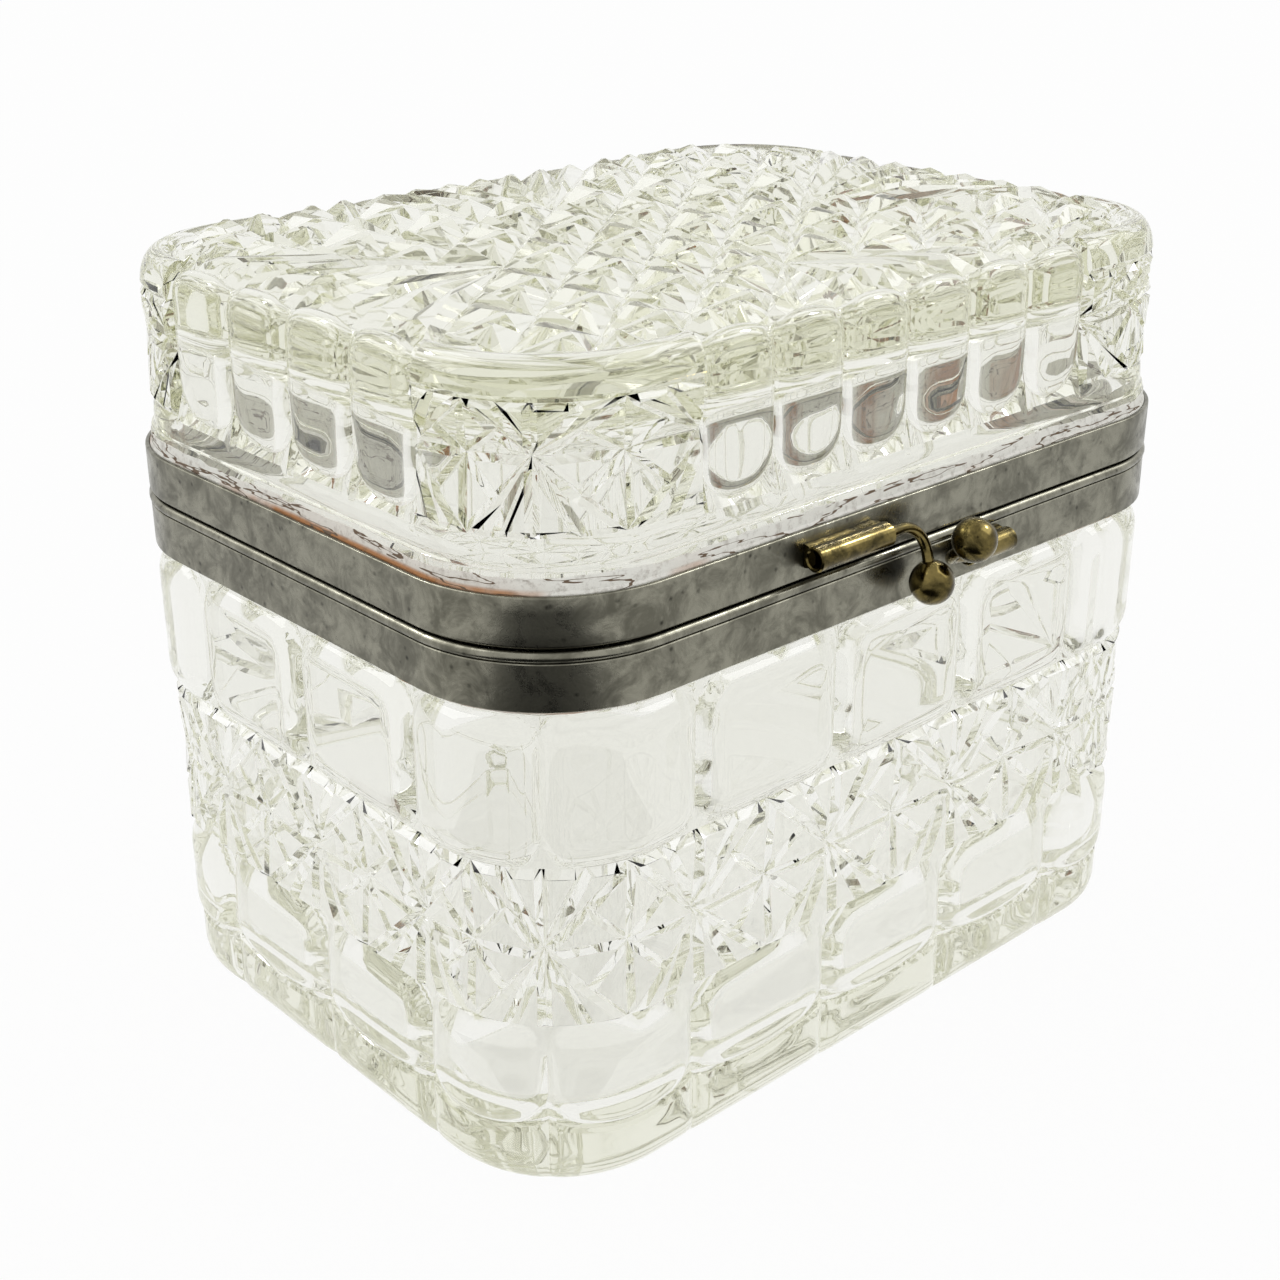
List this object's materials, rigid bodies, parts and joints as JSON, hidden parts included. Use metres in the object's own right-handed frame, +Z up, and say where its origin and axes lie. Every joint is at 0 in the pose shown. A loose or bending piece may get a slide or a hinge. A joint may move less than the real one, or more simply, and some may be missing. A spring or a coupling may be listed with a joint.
{
  "type": "glass casket box",
  "caption": "Pressed-glass casket with a hinged glass lid, metal rims bedded in plaster, and a sprung ball clasp at the front.",
  "frame": {"origin": "middle of the foot, on the surface the box stands on", "axes": "+X along the long front, to the right of a viewer facing the clasp; the clasp is at -Y and the hinge at +Y; +Z up"},
  "size_m": [0.1304, 0.1131, 0.1113],
  "materials": {
    "glass": "clear pressed glass, faint grey-green in the thick places",
    "rim_metal": "dull, worn nickel plate",
    "plaster": "matt, stained orange-brown where it shows",
    "brass": "old brass with dark patina"
  },
  "bodies": {
    "body": {"body_glass": "glass", "body_plaster": "plaster", "body_rim": "rim_metal", "body_hinge_leaf": "rim_metal", "hinge_pin": "brass", "body_clasp_sleeve": "brass"},
    "lid": {"lid_glass": "glass", "lid_plaster": "plaster", "lid_rim": "rim_metal", "lid_hinge_leaf": "rim_metal", "lid_clasp_sleeve": "brass"},
    "lid_clasp": {"lid_clasp_stem": "brass", "lid_clasp_ball": "brass"},
    "body_clasp": {"body_clasp_stem": "brass", "body_clasp_ball": "brass"}
  },
  "joints": [
    {"name": "lid_hinge", "type": "hinge", "parent": "body", "child": "lid", "pos_m": [0, 0.051, 0.077], "axis": [-1, 0, 0], "range_deg": [0, 100]},
    {"name": "lid_clasp_flex", "type": "hinge", "parent": "lid", "child": "lid_clasp", "pos_m": [-0.008, -0.0503, 0.08035], "axis": [1, 0, 0], "range_deg": [-8, 5], "stiffness_Nm_per_rad": 0.15},
    {"name": "body_clasp_flex", "type": "hinge", "parent": "body", "child": "body_clasp", "pos_m": [0.0082, -0.0503, 0.07335], "axis": [1, 0, 0], "range_deg": [-6, 8], "stiffness_Nm_per_rad": 0.15}
  ]
}
